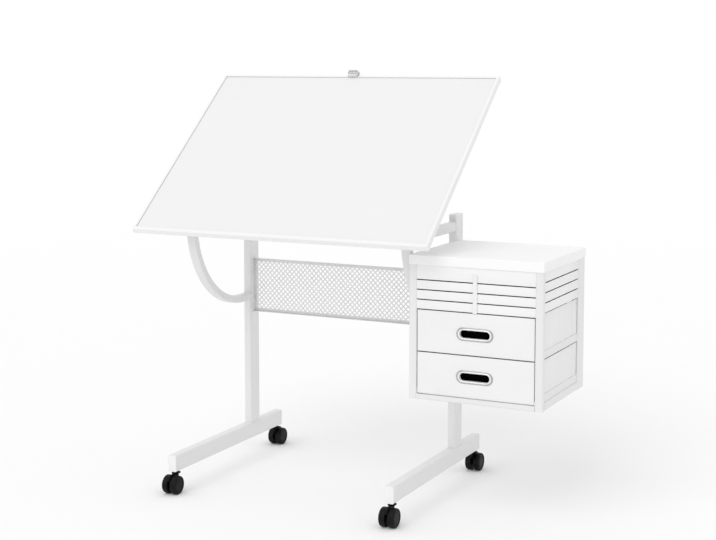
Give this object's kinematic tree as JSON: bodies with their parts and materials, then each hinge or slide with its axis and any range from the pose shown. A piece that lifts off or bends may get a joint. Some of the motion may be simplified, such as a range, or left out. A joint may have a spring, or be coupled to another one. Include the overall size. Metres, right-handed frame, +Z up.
{
  "type": "drafting table",
  "caption": "White craft and drafting table with a tilting board on an open tube stand with casters, a perforated back panel and a hung side cabinet with drawers and a slatted shelf.",
  "frame": {"origin": "middle of the footprint, on the floor", "axes": "+X along the table to the side cabinet, +Y to the back, +Z up"},
  "size_m": [1.1422, 0.624, 1.1355],
  "materials": {
    "white_steel": "satin powder coat",
    "white_board": "satin laminate",
    "white_trim": "satin",
    "white_cloth": "woven",
    "bright_metal": "polished",
    "black_plastic": "satin",
    "black_tread": "matte"
  },
  "bodies": {
    "frame": {"left_foot": "white_steel", "left_post": "white_steel", "left_arm": "white_steel", "left_rail": "white_steel", "left_track": "white_steel", "right_foot": "white_steel", "right_post": "white_steel", "right_arm": "white_steel", "right_rail": "white_steel", "right_track": "white_steel", "foot_plugs": "white_trim", "tube_caps": "white_trim", "hinge_pins": "bright_metal", "mesh_panel": "white_steel", "front_left_stile": "white_steel", "front_right_stile": "white_steel", "rear_left_stile": "white_steel", "rear_right_stile": "white_steel", "base_cross_rails": "white_steel", "base_side_rails": "white_steel", "left_runners": "white_steel", "right_runners": "white_steel", "side_panels": "white_cloth", "front_slats": "white_steel", "right_slats": "white_steel", "left_slats": "white_steel", "rear_slats": "white_steel", "slat_strap": "white_cloth", "gallery_shelf": "white_steel", "side_top": "white_board"},
    "tabletop": {"board_panel": "white_board", "front_edge": "white_trim", "rear_edge": "white_trim", "left_edge": "white_trim", "right_edge": "white_trim", "left_channel": "white_steel", "right_channel": "white_steel", "clip_base": "bright_metal"},
    "clip_jaw": {"clip_jaw": "bright_metal"},
    "left_stay": {"left_stay": "bright_metal"},
    "left_knob": {"left_knob": "black_plastic"},
    "right_stay": {"right_stay": "bright_metal"},
    "right_knob": {"right_knob": "black_plastic"},
    "lower_drawer": {"lower_drawer_bin": "white_cloth", "lower_drawer_front": "white_cloth", "lower_drawer_ring": "bright_metal", "lower_drawer_cup": "black_plastic"},
    "upper_drawer": {"upper_drawer_bin": "white_cloth", "upper_drawer_front": "white_cloth", "upper_drawer_ring": "bright_metal", "upper_drawer_cup": "black_plastic"},
    "front_left_caster": {"front_left_caster_hood": "black_plastic"},
    "front_left_caster_wheels": {"front_left_caster_wheels": "black_tread"},
    "front_right_caster": {"front_right_caster_hood": "black_plastic"},
    "front_right_caster_wheels": {"front_right_caster_wheels": "black_tread"},
    "rear_left_caster": {"rear_left_caster_hood": "black_plastic"},
    "rear_left_caster_wheels": {"rear_left_caster_wheels": "black_tread"},
    "rear_right_caster": {"rear_right_caster_hood": "black_plastic"},
    "rear_right_caster_wheels": {"rear_right_caster_wheels": "black_tread"}
  },
  "joints": [
    {"name": "board_tilt", "type": "hinge", "parent": "frame", "child": "tabletop", "pos_m": [-0.11812, -0.183, 0.716], "axis": [1, 0, 0], "range_deg": [-40, 20]},
    {"name": "left_stay_pivot", "type": "hinge", "parent": "tabletop", "child": "left_stay", "pos_m": [-0.42457, -0.0756, 0.80612], "axis": [1, 0, 0], "range_deg": [-40.1, 80.1]},
    {"name": "left_knob_turn", "type": "hinge", "parent": "left_stay", "child": "left_knob", "pos_m": [-0.41128, 0.0318, 0.716], "axis": [1, 0, 0], "continuous": true},
    {"name": "right_stay_pivot", "type": "hinge", "parent": "tabletop", "child": "right_stay", "pos_m": [0.18832, -0.0756, 0.80612], "axis": [1, 0, 0], "range_deg": [-40.1, 80.1]},
    {"name": "right_knob_turn", "type": "hinge", "parent": "right_stay", "child": "right_knob", "pos_m": [0.17502, 0.0318, 0.716], "axis": [1, 0, 0], "continuous": true},
    {"name": "clip_squeeze", "type": "hinge", "parent": "tabletop", "child": "clip_jaw", "pos_m": [-0.14513, 0.21508, 1.12835], "axis": [-1, 0, 0], "range_deg": [0, 25], "stiffness_Nm_per_rad": 0.3, "springref_deg": -17.19},
    {"name": "lower_drawer_slide", "type": "slide", "parent": "frame", "child": "lower_drawer", "axis": [0, -1, 0], "range_m": [0, 0.25]},
    {"name": "upper_drawer_slide", "type": "slide", "parent": "frame", "child": "upper_drawer", "axis": [0, -1, 0], "range_m": [0, 0.25]},
    {"name": "front_left_caster_swivel", "type": "hinge", "parent": "frame", "child": "front_left_caster", "pos_m": [-0.44012, -0.271, 0.0605], "axis": [0, 0, 1], "continuous": true},
    {"name": "front_left_caster_spin", "type": "hinge", "parent": "front_left_caster", "child": "front_left_caster_wheels", "pos_m": [-0.44012, -0.287, 0.025], "axis": [1, 0, 0], "continuous": true},
    {"name": "rear_left_caster_swivel", "type": "hinge", "parent": "frame", "child": "rear_left_caster", "pos_m": [-0.44012, 0.271, 0.0605], "axis": [0, 0, 1], "continuous": true},
    {"name": "rear_left_caster_spin", "type": "hinge", "parent": "rear_left_caster", "child": "rear_left_caster_wheels", "pos_m": [-0.44012, 0.287, 0.025], "axis": [1, 0, 0], "continuous": true},
    {"name": "front_right_caster_swivel", "type": "hinge", "parent": "frame", "child": "front_right_caster", "pos_m": [0.20388, -0.271, 0.0605], "axis": [0, 0, 1], "continuous": true},
    {"name": "front_right_caster_spin", "type": "hinge", "parent": "front_right_caster", "child": "front_right_caster_wheels", "pos_m": [0.20388, -0.287, 0.025], "axis": [1, 0, 0], "continuous": true},
    {"name": "rear_right_caster_swivel", "type": "hinge", "parent": "frame", "child": "rear_right_caster", "pos_m": [0.20388, 0.271, 0.0605], "axis": [0, 0, 1], "continuous": true},
    {"name": "rear_right_caster_spin", "type": "hinge", "parent": "rear_right_caster", "child": "rear_right_caster_wheels", "pos_m": [0.20388, 0.287, 0.025], "axis": [1, 0, 0], "continuous": true}
  ],
  "couplings": [
    {"joint": "left_stay_pivot", "follows": "board_tilt", "ratio": -2},
    {"joint": "right_stay_pivot", "follows": "board_tilt", "ratio": -2}
  ]
}
